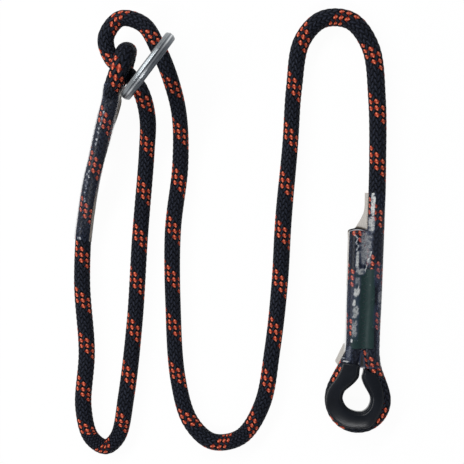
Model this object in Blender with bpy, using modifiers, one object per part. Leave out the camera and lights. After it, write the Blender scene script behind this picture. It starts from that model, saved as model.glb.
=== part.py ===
"""Adjustable rope lanyard, laid out flat on the floor.

One length of 12 mm kernmantle rope is sewn back on itself at both ends. The first eye holds a moulded
thimble. The second eye closes round the rope itself, and the adjuster ring stands on its edge round the
two strands beside it, so the rope loop above the ring can be drawn larger or smaller. Clear sleeves are
shrunk over the two sewn joints, and a bare label lies under the larger one.

Metres, +Z up, floor at z = 0, origin under the middle of the laid-out lanyard. The top of the
photograph is +Y.
"""

import math

import bmesh
import bpy
from mathutils import Matrix, Vector

mm = 0.001

# Rope
rope_diameter = 12.0 * mm
floor_gap = 0.2 * mm
clearance = 0.3 * mm

# Sleeves, label and stitching
sleeve_wall = 0.6 * mm
sleeve_clearance = 0.4 * mm
stack_clearance = 0.4 * mm
label_thickness = 0.3 * mm
label_width = 19.5 * mm
label_length = 60.0 * mm
label_start = 11.0 * mm
label_sideways = 1.3 * mm
thread_diameter = 0.8 * mm
stitch_length = 3.0 * mm
stitch_half_width = 2.4 * mm

# Thimble, in its own plan: its origin is the middle of the hole, +Y points at its neck
thimble_centre = Vector((95.4 * mm, -126.7 * mm, 0.0))
thimble_turn = math.radians(-7.5)
hole_radius = 10.4 * mm
thimble_wall = 1.4 * mm
flange_thickness = 2.0 * mm
flange_reach = 3.6 * mm
flange_rounding = 1.4 * mm
leg_height = 22.3 * mm
leg_half_width = 14.0 * mm
leg_corner = 3.0 * mm
leg_corner_start = math.radians(20.0)
leg_splay = 1.2 * mm
leg_splay_drop = 3.0 * mm
shoulder_angle = math.radians(12.0)
hole_mouth_angle = math.radians(52.0)
half_wrap = math.radians(104.0)
neck_height = 16.5 * mm
neck_half_gap = 1.4 * mm
slot_half_gap = 2.1 * mm
leg_wall = 0.8 * mm
loop_play = 0.8 * mm
loop_shift = Vector((0.65 * mm, -0.6 * mm, 0.0))

# Sewn joint above the thimble: distances run from its foot, along it, to the middle of the rope's route
joint_setback = 3.5 * mm
joint_turn = math.radians(-2.25)
joint_rise = -1.3 * mm
strand_spacing = 13.2 * mm
foot_spacing = 18.6 * mm
foot_shift = 1.0 * mm
flare_length = 9.0 * mm
foot_room = 0.4 * mm
tail_end = 101.5 * mm
sleeve_shoulder = 103.5 * mm
web_length = 15.0 * mm
main_strand_end = 121.0 * mm
sleeve_length = 131.0 * mm

# Adjuster ring, which stands on its edge
ring_outer_diameter = 60.0 * mm
ring_thickness = 6.5 * mm
ring_width = 8.5 * mm
ring_corner = 2.2 * mm
ring_place = Vector((-62.6 * mm, 124.1 * mm, 0.0))
ring_heading = math.radians(53.13)
ring_lean = math.radians(5.0)

# Rope that lies free, from past the top of the thimble's sleeve to inside the foot of the other: x and y,
# and how far it lifts off the floor where it climbs through the ring, in millimetres
free_run = [
    (111.0, 55.0, 0.0),
    (110.5, 100.5, 0.0),
    (105.5, 140.5, 0.0),
    (90.5, 160.5, 0.0),
    (69.0, 161.5, 0.0),
    (53.5, 145.0, 0.0),
    (47.5, 109.5, 0.0),
    (44.5, 65.5, 0.0),
    (39.5, 10.5, 0.0),
    (36.5, -40.0, 0.0),
    (31.0, -89.5, 0.0),
    (23.0, -131.5, 0.0),
    (7.0, -155.5, 0.0),
    (-14.5, -159.0, 0.0),
    (-31.0, -144.0, 0.0),
    (-40.5, -112.5, 0.0),
    (-44.5, -54.0, 0.0),
    (-44.5, 1.5, 0.0),
    (-39.0, 50.0, 0.0),
    (-39.5, 88.0, 7.5),
    (-45.5, 114.0, 17.5),
    (-54.5, 136.5, 23.0),
    (-66.0, 155.5, 20.0),
    (-83.5, 160.5, 16.0),
    (-94.5, 146.5, 14.0),
    (-90.5, 131.0, 14.0),
    (-78.5, 119.5, 16.0),
    (-68.5, 106.5, 19.5),
    (-63.5, 87.0, 9.5),
    (-64.5, 59.5, 0.5),
    (-69.5, -3.0, 0.0),
    (-73.5, -67.0, 0.0),
    (-80.0, -124.5, 0.0),
    (-86.5, -155.5, 0.0),
    (-95.5, -163.0, 0.0),
    (-106.5, -156.0, 0.0),
    (-112.5, -133.5, 0.0),
    (-110.0, -91.0, 0.0),
    (-113.5, -40.0, 0.0),
    (-112.35, -1.5, 0.8),
]

# Sewn joint below the ring: x and y in millimetres, and how far its upper strand has climbed on to the
# lower one, as a share of the whole step
second_joint = [
    (-112.7, -6.7, 0.0),
    (-111.6, 4.7, 0.03),
    (-110.2, 14.0, 0.19),
    (-108.6, 24.3, 0.45),
    (-106.8, 33.3, 0.69),
    (-104.8, 42.3, 0.91),
    (-101.2, 56.6, 1.0),
    (-97.7, 73.2, 1.0),
    (-93.5, 91.2, 1.02),
    (-92.2, 96.3, 1.08),
    (-91.0, 101.0, 1.22),
]
second_tail_station = 6
second_tail_inset = 1.5 * mm
rope_cut_gap = 1.0 * mm

# Eye that closes round the rope: x, y and lift above the lower strand, in millimetres
second_eye = [
    (-89.5, 108.0, 19.8),
    (-83.0, 122.0, 27.6),
    (-78.5, 134.0, 21.5),
    (-77.5, 137.0, 13.0),
    (-78.0, 136.0, 4.0),
    (-80.5, 126.0, 0.0),
    (-86.0, 114.0, 0.0),
]

# Facets
rope_point_spacing = 36.0 * mm
rope_point_turn = math.radians(38.0)
eye_point_spacing = 26.0 * mm
rope_bevel_resolution = 3
thread_bevel_resolution = 1
section_points = 20
ring_steps = 48
corner_steps = 3
loop_steps = 8
label_steps = 14
arc_step = math.radians(10.0)

rope_radius = rope_diameter / 2
lying_height = rope_radius + floor_gap
bore_radius = rope_radius + sleeve_clearance
bed_height = sleeve_wall + bore_radius
stack_step = rope_diameter + stack_clearance
groove_radius = rope_radius + clearance
thimble_half_height = groove_radius + flange_thickness
groove_path_radius = hole_radius + thimble_wall + groove_radius


# Colour, roughness and metallic value of each kind of piece
rope_look = {"colour": (0.012, 0.013, 0.018), "roughness": 0.8}
moulded_look = {"colour": (0.013, 0.014, 0.017), "roughness": 0.45}
steel_look = {"colour": (0.55, 0.56, 0.57), "roughness": 0.25, "metallic": 1.0}
clear_look = {"colour": (0.75, 0.74, 0.70), "roughness": 0.15, "alpha": 0.3}
label_look = {"colour": (0.03, 0.07, 0.06), "roughness": 0.4}
thread_look = {"colour": (0.03, 0.03, 0.03), "roughness": 0.7}


def clear_scene():
    for obj in list(bpy.data.objects):
        bpy.data.objects.remove(obj, do_unlink=True)


def new_collection(name):
    collection = bpy.data.collections.new(name)
    bpy.context.scene.collection.children.link(collection)
    return collection


def material(name, colour, roughness, metallic=0.0, alpha=1.0):
    result = bpy.data.materials.new(name)
    result.use_nodes = True
    shader = result.node_tree.nodes["Principled BSDF"]
    shader.inputs["Base Color"].default_value = (*colour, 1.0)
    shader.inputs["Roughness"].default_value = roughness
    shader.inputs["Metallic"].default_value = metallic
    shader.inputs["Alpha"].default_value = alpha
    return result


def add_object(name, data, collection, look=None):
    obj = bpy.data.objects.new(name, data)
    collection.objects.link(obj)
    if look:
        data.materials.append(material(name, **look))
    return obj


def add_mesh(name, bm, collection, look=None):
    mesh = bpy.data.meshes.new(name)
    bm.to_mesh(mesh)
    bm.free()
    return add_object(name, mesh, collection, look)


def curve_to_mesh(obj):
    """The same object as a welded mesh, in place of its curve."""
    bpy.context.view_layer.update()
    mesh = bpy.data.meshes.new_from_object(obj.evaluated_get(bpy.context.evaluated_depsgraph_get()))
    bm = bmesh.new()
    bm.from_mesh(mesh)
    bmesh.ops.remove_doubles(bm, verts=bm.verts, dist=0.01 * mm)
    bmesh.ops.recalc_face_normals(bm, faces=bm.faces)
    bm.to_mesh(mesh)
    bm.free()
    name = obj.name
    collection = obj.users_collection[0]
    place = obj.matrix_world.copy()
    bpy.data.objects.remove(obj, do_unlink=True)
    result = bpy.data.objects.new(name, mesh)
    result.matrix_world = place
    collection.objects.link(result)
    return result


def spline_point(points, index, share):
    """A point of the centripetal Catmull-Rom curve, on the span after points[index]."""
    last = len(points) - 1
    b, c = points[index], points[index + 1]
    a = points[index - 1] if index else 2 * b - c
    d = points[index + 2] if index + 2 <= last else 2 * c - b
    ta = 0.0
    tb = ta + math.sqrt((b - a).length)
    tc = tb + math.sqrt((c - b).length)
    td = tc + math.sqrt((d - c).length)
    t = tb + (tc - tb) * share
    ab = a.lerp(b, (t - ta) / (tb - ta))
    bc = b.lerp(c, (t - tb) / (tc - tb))
    cd = c.lerp(d, (t - tc) / (td - tc))
    abc = ab.lerp(bc, (t - ta) / (tc - ta))
    bcd = bc.lerp(cd, (t - tb) / (td - tb))
    return abc.lerp(bcd, (t - tb) / (tc - tb))


def smooth_route(points, spacing):
    """Points along the smooth curve through the route, closer together where it bends."""
    route = [points[0]]
    for index in range(len(points) - 1):
        marks = [spline_point(points, index, share / 8) for share in range(9)]
        turn = (marks[1] - marks[0]).angle(marks[8] - marks[7])
        length = (points[index + 1] - points[index]).length
        steps = max(1, math.ceil(length / spacing), math.ceil(turn / rope_point_turn))
        for step in range(1, steps + 1):
            route.append(spline_point(points, index, step / steps))
    return route


def tube(name, route, diameter, resolution, collection, look):
    curve = bpy.data.curves.new(name, "CURVE")
    curve.dimensions = "3D"
    curve.bevel_depth = diameter / 2
    curve.bevel_resolution = resolution
    curve.use_fill_caps = True
    add_spline(curve, route, closed=False)
    return add_object(name, curve, collection, look)


def add_spline(curve, route, closed):
    spline = curve.splines.new("POLY")
    spline.points.add(len(route) - 1)
    for point, place in zip(spline.points, route):
        point.co = (*place.to_3d(), 1.0)
    spline.use_cyclic_u = closed


def arc(centre, radius, start, end):
    steps = max(2, math.ceil(abs(end - start) / arc_step))
    angles = [start + (end - start) * step / steps for step in range(steps + 1)]
    return [centre + radius * Vector((math.cos(a), math.sin(a))) for a in angles]


def metres(point, base_height):
    x, y, lift = point
    return Vector((x * mm, y * mm, base_height + lift * mm))


def free_rope_points():
    """The rope's own points, after the straight stretch that comes out of the thimble's sleeve."""
    straight = [strand_point(main_strand_end, 1), strand_point(sleeve_length, 1)]
    return straight + [metres(point, lying_height) for point in free_run]


def free_rope_route():
    route = smooth_route(free_rope_points(), rope_point_spacing)
    for point in route:
        point.z = max(point.z, lying_height)
    return route


def make_ropes(collection):
    """One rope, cut where the sleeves hide it, so that each stretch can be a solid of its own."""
    routes = {
        "rope_free_run": free_rope_route(),
        "thimble_eye_rope": smooth_route(thimble_eye_points(), eye_point_spacing),
        "ring_eye_rope": smooth_route(second_eye_points(), eye_point_spacing),
    }
    for name, route in routes.items():
        tube(name, route, rope_diameter, rope_bevel_resolution, collection, rope_look)


# Sewn joint above the thimble

def thimble_frame():
    return Matrix.Translation(thimble_centre) @ Matrix.Rotation(thimble_turn, 4, "Z")


def joint_point(distance, sideways):
    """A point of the sewn joint: distance up from its foot, and sideways to the right."""
    foot = thimble_frame() @ Vector((0.0, leg_height + joint_setback, thimble_half_height))
    along = Matrix.Rotation(joint_turn, 3, "Z")
    height = joint_rise * min(distance / tail_end, 1.0)
    return foot + along @ Vector((sideways, distance, 0.0)) + Vector((0.0, 0.0, height))


def half_spacing(distance):
    spread = max(0.0, 1.0 - distance / flare_length)
    return (strand_spacing + (foot_spacing - strand_spacing) * spread) / 2


def strand_point(distance, side):
    """side is 1 on the main strand and -1 on the tail."""
    shift = foot_shift * max(0.0, 1.0 - distance / flare_length)
    return joint_point(distance, side * half_spacing(distance) - shift)


def thimble_eye_points():
    flare = [0.0, flare_length / 2, flare_length]
    tail = [tail_end, tail_end / 2, *reversed(flare)]
    main = [*flare, main_strand_end / 2, main_strand_end - clearance]
    radius = groove_path_radius + loop_play
    place = thimble_frame()
    loop = []
    for step in range(loop_steps + 1):
        angle = half_wrap * (2 * step / loop_steps - 1) - math.pi / 2
        flat = loop_shift + radius * Vector((math.cos(angle), math.sin(angle), 0.0))
        loop.append(place @ (flat + Vector((0.0, 0.0, thimble_half_height))))
    return [strand_point(s, -1) for s in tail] + loop + [strand_point(s, 1) for s in main]


def section_ring(first, second, radius, across, up, stretch=(1.0, 1.0)):
    """A section round two strands: a half circle about each, joined by straight sides.

    across points from the first strand to the second. stretch lengthens each half circle that way, for a
    strand that climbs through the section.
    """
    ring = []
    for step in range(section_points):
        angle = 2 * math.pi * (step + 0.5) / section_points
        centre, reach = (second, stretch[1]) if math.cos(angle) > 0 else (first, stretch[0])
        ring.append(centre + radius * (math.cos(angle) * reach * across + math.sin(angle) * up))
    return ring


def loft_shell(name, rings, wall, collection, look, closed=True):
    """An open tube or sheet through the rings, thickened outward by the wall."""
    bm = bmesh.new()
    rows = [[bm.verts.new(point) for point in ring] for ring in rings]
    count = len(rows[0])
    for lower, upper in zip(rows, rows[1:]):
        for index in range(count if closed else count - 1):
            after = (index + 1) % count
            bm.faces.new((lower[index], lower[after], upper[after], upper[index]))
    bmesh.ops.recalc_face_normals(bm, faces=bm.faces)
    obj = add_mesh(name, bm, collection, look)
    solid = obj.modifiers.new("wall", "SOLIDIFY")
    solid.thickness = wall
    solid.offset = 1.0
    solid.use_even_offset = True
    obj.data.shade_smooth()
    return obj


def sleeve_bore():
    return bore_radius + (label_thickness + clearance) / 2


def make_thimble_sleeve(collection, look):
    across = Matrix.Rotation(joint_turn, 3, "Z") @ Vector((1.0, 0.0, 0.0))
    up = Vector((0.0, 0.0, 1.0))
    lift = Vector((0.0, 0.0, (label_thickness + clearance) / 2))
    rings = []
    for distance in (0.0, flare_length / 2, flare_length, sleeve_shoulder / 2, sleeve_shoulder):
        tail, main = strand_point(distance, -1), strand_point(distance, 1)
        bore = sleeve_bore() + foot_room * max(0.0, 1.0 - distance / flare_length)
        rings.append(section_ring(tail + lift, main + lift, bore, across, up))
    for share in (0.5, 1.0):
        main = strand_point(sleeve_shoulder + web_length * share, 1)
        tail = main - across * strand_spacing * (1.0 - share)
        radius = sleeve_bore() - (sleeve_bore() - bore_radius) * share
        rings.append(section_ring(tail + lift * (1 - share), main + lift * (1 - share), radius, across, up))
    main = strand_point(sleeve_length, 1)
    rings.append(section_ring(main, main, bore_radius, across, up))
    return loft_shell("thimble_eye_sleeve", rings, sleeve_wall, collection, look)


def make_label(collection, look):
    """A bare label that lies across the tops of both strands, under the sleeve."""
    across = Matrix.Rotation(joint_turn, 3, "Z") @ Vector((1.0, 0.0, 0.0))
    up = Vector((0.0, 0.0, 1.0))
    reach = label_width / 2
    rings = []
    for distance in (label_start, label_start + label_length):
        middle = joint_point(distance, label_sideways)
        ring = []
        for step in range(label_steps + 1):
            sideways = -reach + label_width * step / label_steps
            beyond = max(0.0, abs(sideways + label_sideways) - strand_spacing / 2)
            height = math.sqrt(groove_radius**2 - beyond**2)
            ring.append(middle + across * sideways + up * height)
        rings.append(ring)
    return loft_shell("identification_label", rings, label_thickness, collection, look, closed=False)


def zigzag(start, end, across, half_width):
    count = round((end - start).length / stitch_length)
    points = []
    for step in range(count + 1):
        side = half_width if step % 2 else -half_width
        points.append(start.lerp(end, step / count) + across * side)
    return points


def stitch_depth(strand_gap):
    """Height of a thread's middle above the plane of the strands, where it lies in their valley."""
    beyond = strand_gap / 2 - stitch_half_width
    rest = rope_radius + clearance + thread_diameter / 2
    return math.sqrt(rest**2 - beyond**2)


def make_thimble_stitching(collection, look):
    """One zigzag row in the valley over the two strands, and one in the valley under them."""
    across = Matrix.Rotation(joint_turn, 3, "Z") @ Vector((1.0, 0.0, 0.0))
    depth = stitch_depth(strand_spacing)
    start, end = label_start, tail_end - 2 * stitch_length
    for name, side in (("upper", 1), ("under", -1)):
        offset = Vector((0.0, 0.0, side * depth))
        row = zigzag(joint_point(start, 0) + offset, joint_point(end, 0) + offset, across, stitch_half_width)
        name = "thimble_eye_stitching_" + name
        tube(name, row, thread_diameter, thread_bevel_resolution, collection, look)


# Thimble

def thimble_outline():
    """The flange's outline in plan: a horseshoe, open at the neck."""
    middle = Vector((0.0, 0.0))
    outer_radius = groove_path_radius + flange_reach
    outer = arc(middle, outer_radius, math.pi - shoulder_angle, 2 * math.pi + shoulder_angle)
    corner_centre = Vector((leg_half_width - leg_corner, leg_height - leg_corner))
    right_leg = arc(corner_centre, leg_corner, leg_corner_start, math.pi / 2)
    neck = [Vector((slot_half_gap, leg_height)), Vector((neck_half_gap, neck_height))]
    hole = arc(middle, hole_radius, hole_mouth_angle, -math.pi / 2)
    right = [*right_leg, *neck, *hole]
    left = [Vector((-point.x, point.y)) for point in reversed(right[:-1])]
    return outer + right + left


def groove_path():
    leg_x = slot_half_gap + leg_wall + groove_radius
    legs = [Vector((leg_x, leg_height + rope_radius)), Vector((leg_x + leg_splay, leg_height - leg_splay_drop))]
    start = half_wrap - math.pi / 2
    turn = arc(Vector((0.0, 0.0)), groove_path_radius, start, start - 2 * half_wrap)
    left = [Vector((-point.x, point.y)) for point in reversed(legs)]
    return legs + turn + left


def groove_section():
    """The rope's seat on the hole's side, open at its full width on the other."""
    mouth = flange_reach + rope_radius
    seat = arc(Vector((0.0, 0.0)), groove_radius, -math.pi / 2, math.pi / 2)
    return [*seat, Vector((-mouth, groove_radius)), Vector((-mouth, -groove_radius))]


def make_thimble(collection, cutters, look):
    body_curve = bpy.data.curves.new("thimble", "CURVE")
    body_curve.dimensions = "2D"
    body_curve.fill_mode = "BOTH"
    body_curve.extrude = thimble_half_height - flange_rounding
    body_curve.bevel_depth = flange_rounding
    body_curve.bevel_resolution = 2
    body_curve.offset = -flange_rounding
    add_spline(body_curve, thimble_outline(), closed=True)
    body = curve_to_mesh(add_object("thimble", body_curve, collection))

    section_curve = bpy.data.curves.new("groove_section", "CURVE")
    section_curve.dimensions = "2D"
    add_spline(section_curve, groove_section(), closed=True)
    section = add_object("groove_section", section_curve, cutters)

    groove_curve = bpy.data.curves.new("thimble_groove_cutter", "CURVE")
    groove_curve.dimensions = "3D"
    groove_curve.twist_mode = "Z_UP"
    groove_curve.bevel_mode = "OBJECT"
    groove_curve.bevel_object = section
    groove_curve.use_fill_caps = True
    add_spline(groove_curve, groove_path(), closed=False)
    groove = curve_to_mesh(add_object("thimble_groove_cutter", groove_curve, cutters))

    place = thimble_frame() @ Matrix.Translation((0.0, 0.0, thimble_half_height))
    body.matrix_world = place
    groove.matrix_world = place
    body.data.materials.append(material("thimble", **look))
    cut = body.modifiers.new("groove", "BOOLEAN")
    cut.operation = "DIFFERENCE"
    cut.object = groove
    body.data.shade_smooth()
    body.data.set_sharp_from_angle(angle=math.radians(35.0))
    for helper in (section, groove):
        helper.hide_render = True
        helper.display_type = "WIRE"
    return body


# Adjuster ring

def ring_profile():
    """The ring's section, down its outer side first: x is the radius, z runs along the axis."""
    outer = ring_outer_diameter / 2
    inner = outer - ring_thickness
    half = ring_width / 2
    corners = [
        (outer - ring_corner, half - ring_corner, math.pi / 2),
        (outer - ring_corner, -half + ring_corner, 0.0),
        (inner + ring_corner, -half + ring_corner, -math.pi / 2),
        (inner + ring_corner, half - ring_corner, -math.pi),
    ]
    points = []
    for x, z, start in corners:
        for step in range(corner_steps + 1):
            angle = start - math.pi / 2 * step / corner_steps
            points.append(Vector((x + ring_corner * math.cos(angle), 0.0, z + ring_corner * math.sin(angle))))
    return points


def ring_frame():
    """Ring's +Z is its own axis, turned to lie almost level, and its lowest point is on the floor."""
    along = Vector((math.cos(ring_heading), math.sin(ring_heading), 0.0))
    level = Vector((along.y, -along.x, 0.0))
    upright = Vector((0.0, 0.0, 1.0))
    up = level * math.sin(ring_lean) + upright * math.cos(ring_lean)
    axis = level * math.cos(ring_lean) - upright * math.sin(ring_lean)
    rim = ring_outer_diameter / 2 - ring_corner
    height = rim * math.cos(ring_lean) + (ring_width / 2 - ring_corner) * math.sin(ring_lean) + ring_corner
    centre = ring_place + Vector((0.0, 0.0, height))
    turn = Matrix((up, axis.cross(up), axis)).transposed().to_4x4()
    return Matrix.Translation(centre) @ turn


def make_ring(collection, look):
    bm = bmesh.new()
    points = [bm.verts.new(point) for point in ring_profile()]
    for first, second in zip(points, points[1:] + points[:1]):
        bm.edges.new((first, second))
    ring = add_mesh("adjuster_ring", bm, collection, look)
    turned = ring.modifiers.new("turned", "SCREW")
    turned.axis = "Z"
    turned.steps = ring_steps
    turned.render_steps = ring_steps
    turned.use_merge_vertices = True
    turned.merge_threshold = 0.00001
    turned.use_smooth_shade = True
    ring.matrix_world = ring_frame()
    return ring


# Sewn joint and eye below the ring

def second_strand_points(upper):
    """The stations of the second sewn joint, on its upper strand or on its lower one."""
    points = []
    for index, (x, y, share) in enumerate(second_joint):
        climbed = share if upper or index < second_tail_station else 0.0
        points.append(Vector((x * mm, y * mm, bed_height + climbed * stack_step)))
    return points


def second_eye_points():
    upper = second_strand_points(upper=True)
    lower = second_strand_points(upper=False)
    before, start = free_rope_points()[-2:]
    start = start + (start - before).normalized() * rope_cut_gap
    eye = [metres(point, bed_height) for point in second_eye]
    tail = list(reversed(lower[second_tail_station + 1 :]))
    last, following = lower[second_tail_station], lower[second_tail_station + 1]
    tail.append(last + (following - last).normalized() * second_tail_inset)
    return [start, *upper[1:], *eye, *tail]


def climb_stretch(before, after):
    """How much longer than wide a strand's section is in an upright plane, where the strand climbs."""
    step = after - before
    return step.length / math.hypot(step.x, step.y)


def make_second_sleeve(collection, look):
    upper = second_strand_points(upper=True)
    lower = second_strand_points(upper=False)
    following = metres(second_eye[0], bed_height)
    up = Vector((0.0, 0.0, 1.0))
    rings = []
    for index, (high, low) in enumerate(zip(upper, lower)):
        before = upper[max(index - 1, 0)]
        after = [*upper, following][index + 1]
        along = Vector((after.x - before.x, after.y - before.y, 0.0)).normalized()
        stretch = climb_stretch(before, after)
        low_stretch = 1.0 if index >= second_tail_station else stretch
        sideways = along.cross(up)
        rings.append(section_ring(low, high, bore_radius, up, sideways, (low_stretch, stretch)))
    return loft_shell("ring_eye_sleeve", rings, sleeve_wall, collection, look)


def make_second_stitching(collection, look):
    """One zigzag row down each side of the stacked strands."""
    upper = second_strand_points(upper=True)[second_tail_station:-1]
    lower = second_strand_points(upper=False)[second_tail_station:-1]
    up = Vector((0.0, 0.0, 1.0))
    depth = stitch_depth(stack_step)
    middle = [high.lerp(low, 0.5) for high, low in zip(upper, lower)]
    for name, side in (("right", 1), ("left", -1)):
        row = []
        for first, second in zip(middle, middle[1:]):
            across = (second - first).normalized().cross(up)
            offset = across * side * depth
            row += zigzag(first + offset, second + offset, up, stitch_half_width)[1:-1]
        name = "ring_eye_stitching_" + name
        tube(name, row, thread_diameter, thread_bevel_resolution, collection, look)


def build():
    clear_scene()
    parts = new_collection("adjustable_rope_lanyard")
    cutters = new_collection("cutters")
    make_ropes(parts)
    make_thimble(parts, cutters, moulded_look)
    make_ring(parts, steel_look)
    make_thimble_sleeve(parts, clear_look)
    make_second_sleeve(parts, clear_look)
    make_label(parts, label_look)
    make_thimble_stitching(parts, thread_look)
    make_second_stitching(parts, thread_look)


build()
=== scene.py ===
"""Looks of the adjustable rope lanyard: the braided rope, the steel ring, the moulded thimble and the films.

Metres in Blender, millimetres in the named values. +Z is up and the top of the photograph is +Y.
"""

import math

import bpy
import numpy as np
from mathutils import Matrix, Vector, noise


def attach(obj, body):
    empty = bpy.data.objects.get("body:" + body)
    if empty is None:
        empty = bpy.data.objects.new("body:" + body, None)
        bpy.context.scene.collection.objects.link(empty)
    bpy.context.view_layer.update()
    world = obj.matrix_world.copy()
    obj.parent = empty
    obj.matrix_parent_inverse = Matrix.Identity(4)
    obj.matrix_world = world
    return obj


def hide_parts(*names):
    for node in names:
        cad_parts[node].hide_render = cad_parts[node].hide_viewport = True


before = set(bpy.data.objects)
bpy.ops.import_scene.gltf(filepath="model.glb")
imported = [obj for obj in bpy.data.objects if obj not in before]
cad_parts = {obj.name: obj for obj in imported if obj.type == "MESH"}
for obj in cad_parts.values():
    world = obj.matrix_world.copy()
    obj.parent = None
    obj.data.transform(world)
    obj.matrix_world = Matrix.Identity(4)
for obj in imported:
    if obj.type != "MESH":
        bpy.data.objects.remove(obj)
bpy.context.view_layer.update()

mm = 0.001

# Rope
rope_diameter = 12.0
rope_radius = rope_diameter / 2
lying_height = 6.2
floor_clearance = 0.3
bed_height = 7.0
stack_step = 12.4
samples_per_span = 24

# Thimble and the sewn joint above it, in the joint's own plan
thimble_centre = np.array([95.4, -126.7])
thimble_turn = math.radians(-7.5)
thimble_half_height = 8.3
loop_radius = 18.9
loop_shift = np.array([0.65, -0.6])
loop_half_wrap = math.radians(104.0)
loop_steps = 8
foot_reach = 25.8
joint_turn = math.radians(-2.25)
joint_rise = -1.3
strand_spacing = 13.2
foot_spacing = 18.6
foot_shift = 1.0
flare_length = 9.0
tail_end = 101.5
main_strand_end = 121.0
sleeve_length = 131.0
tail_extra = 0.8

# How thick the rope is beside its own diameter: under the film, at the eye's points, at the second tail
filmed_girth = 1.09
thimble_eye_girths = [1.09, 1.12, 1.16, 1.14, 1.05, 1.0, 1.0, 1.0, 1.0, 1.0, 1.0, 1.0, 1.02, 1.06, 1.09]
second_tail_girth = 0.86

# The free rope's route: x, y, lift off the floor, and how thick the rope is beside its own diameter
free_run = [
    (111, 55, 0, 1.08), (110.5, 100.5, 0, 1.12), (105.5, 140.5, 0, 1.14),
    (90.5, 160.5, 0, 1.15), (69, 161.5, 0, 1.12), (53.5, 145, 0, 1.09), (47.5, 109.5, 0, 1.02),
    (44.5, 65.5, 0, 1), (39.5, 10.5, 0, 1.05), (36.5, -40, 0, 1.04), (31, -89.5, 0, 1.01),
    (23, -131.5, 0, 1.04), (7, -155.5, 0, 1.02), (-14.5, -159, 0, 1.05), (-31, -144, 0, 1.03),
    (-40.5, -112.5, 0, 0.98), (-44.5, -54, 0, 0.97), (-44.5, 1.5, 0, 1.02), (-39, 50, 0, 1.02),
    (-39.5, 88, 7.5, 0.96), (-45.5, 114, 17.5, 1), (-54.5, 136.5, 23, 1.02),
    (-66, 155.5, 20, 1.03), (-83.5, 160.5, 16, 1.02), (-94.5, 146.5, 14, 1.04),
    (-90.5, 131, 14, 1), (-78.5, 119.5, 16, 1), (-68.5, 106.5, 19.5, 1.02),
    (-63.5, 87, 9.5, 1.03), (-64.5, 59.5, 0.5, 1), (-69.5, -3, 0, 1.01), (-73.5, -67, 0, 1.01),
    (-80, -124.5, 0, 1.04), (-86.5, -155.5, 0, 1), (-95.5, -163, 0, 0.96), (-106.5, -156, 0, 1),
    (-112.5, -133.5, 0, 1.04), (-110, -91, 0, 1.03), (-113.5, -40, 0, 1.02),
]

# The second sewn joint's upper strand, as x, y and the share of the step that it has climbed
second_joint = [
    (-112.35, -1.5, 0), (-111.6, 4.7, 0.03), (-110.2, 14, 0.19), (-108.6, 24.3, 0.45),
    (-106.8, 33.3, 0.69), (-104.8, 42.3, 0.91), (-101.2, 56.6, 1), (-97.7, 73.2, 1),
    (-93.5, 91.2, 1.02), (-92.2, 96.3, 1.08), (-91, 101, 1.22),
]
second_tail_station = 6

# The eye round the rope: x, y, lift above the lower strand, and how thick the rope is there
second_eye = [
    (-89.5, 108, 19.8, 1.05), (-83.6, 121.6, 27.6, 1.18), (-79.8, 132.4, 21.5, 1.32),
    (-79.1, 135.6, 13, 1.27), (-78, 136, 4, 1.05), (-80.5, 126, 0, 1), (-86, 114, 0, 1),
]

# Where the orange tracer lies on top of the rope: distance along the rope, and the turn's number
tracer_marks = [
    (-30, -10.8), (5, -9.88), (42, -8.92), (83, -7.82), (115, -7.06), (145, -6.25),
    (175, -5.23), (219.5, -3.97), (293.1, -2.02), (333.2, -1), (372, 0), (413.5, 1.02),
    (493.5, 3), (528, 3.97), (605, 6), (678.5, 8), (753, 10.02), (791, 10.98), (827, 12),
    (854, 13), (887, 14), (923.2, 15.02), (1070, 19.01), (1183.5, 22.03), (1216, 22.98),
    (1251.3, 24), (1290, 25.02), (1363, 27), (1432, 28.99), (1538.5, 31.98), (1564, 33),
    (1583.5, 34), (1615, 35.01), (1716.5, 38), (1788, 40.02), (1820.5, 41), (1860.7, 42.03),
    (2000, 45.9),
]

# How far the rope is twisted: distance along it, and by how many eighths of a turn to its left
twist_marks = [
    (-30, 0.3), (105, 0.25), (145, -0.55), (175, 0.4), (219, 0.1), (297, 0.4), (372, 0.25),
    (453, 0.15), (493, 0.15), (528, -0.1), (605, 0.1), (678, 0.35), (753, 0.2), (791, 0.45),
    (827, 0), (854, -0.4), (887, -0.05), (924, -0.3), (960, -0.28), (1070, -0.4), (1107, -0.7),
    (1183, -0.8), (1218, -0.85), (1250, 0.15), (1290, -0.05), (1363, 0.12), (1397, 0.48),
    (1432, 0.8), (1502, 0.9), (1538, 0.98), (1614, 1.2), (1650, 0.95), (1716, 1.25),
    (1787, 1.2), (1857, 1.2), (1885, 1.6),
]

# Sheath: eight strands each way round the rope, so eight floats to a turn
strands = 8
samples_round = 48
samples_per_float = 4
float_rise = 0.45
float_width = 0.40
float_length = 0.52
float_slant = 0.3
relief_inside = 0.75

# Rows of the weave: how far from the rope's two ends they stay, and the step at which they are looked for
weave_start = 0.3
weave_stop = 0.2
weave_search_step = 0.5

# Strips of the flat map: how many, and where each starts and how much it takes of its room
bake_strips = 7
strip_start = 0.005
strip_reach = 0.965
strip_edge = 0.03
strip_width = 0.94

# Tracer: how many of the eight strands one way, from which one, and turns that keep the count above zero
tracer_strands = 3
tracer_first = 1.0
spare_turns = 200

# Rounded cut end: share of the rope's radius and reach of each ring, then the tip's reach
end_rings = ((0.86, 0.7), (0.6, 1.2), (0.3, 1.5))
end_tip = 1.6

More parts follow.
